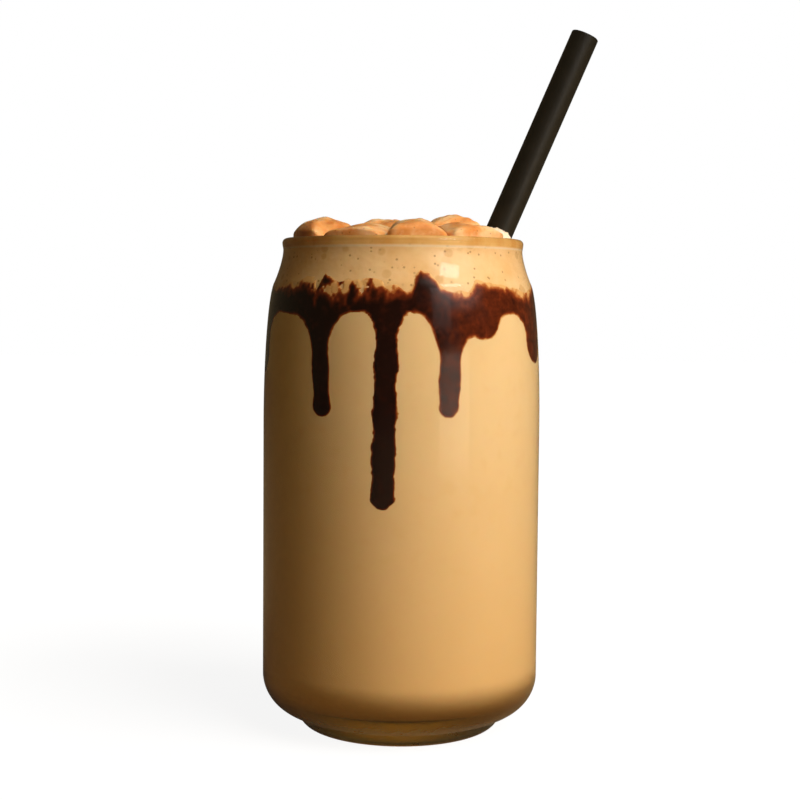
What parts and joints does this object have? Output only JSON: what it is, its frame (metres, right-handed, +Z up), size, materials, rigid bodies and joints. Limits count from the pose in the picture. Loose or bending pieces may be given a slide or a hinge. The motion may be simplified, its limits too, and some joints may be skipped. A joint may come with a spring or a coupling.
{
  "type": "iced coffee",
  "caption": "Iced coffee in a can-shaped glass, with chocolate sauce dripping down inside the wall, froth and lumps of ice heaped at the top, and a leaning straw.",
  "frame": {"origin": "middle of the glass's foot, level with the table it stands on", "axes": "+Z up along the glass's axis; +X towards the side the straw leans over; -Y is the front"},
  "size_m": [0.0901, 0.075, 0.1905],
  "materials": {
    "glass": "clear smooth glass with a faint warm tint",
    "coffee": "opaque milky coffee, smooth against the glass",
    "froth": "fine tan foam with small open bubbles",
    "chocolate_sauce": "dark glossy sauce, orange-brown where it is thin",
    "straw": "satin black plastic",
    "coated_ice": "wet rounded ice under a film of caramel-brown foam"
  },
  "bodies": {
    "root": {"glass": "glass", "coffee": "coffee", "froth": "froth", "chocolate_sauce": "chocolate_sauce", "straw": "straw", "ice_lump_01": "coated_ice", "ice_lump_02": "coated_ice", "ice_lump_03": "coated_ice", "ice_lump_04": "coated_ice", "ice_lump_05": "coated_ice", "ice_lump_06": "coated_ice", "ice_lump_07": "coated_ice", "ice_lump_08": "coated_ice", "ice_lump_09": "coated_ice", "ice_lump_10": "coated_ice", "ice_lump_11": "coated_ice", "ice_lump_12": "coated_ice"}
  },
  "joints": []
}
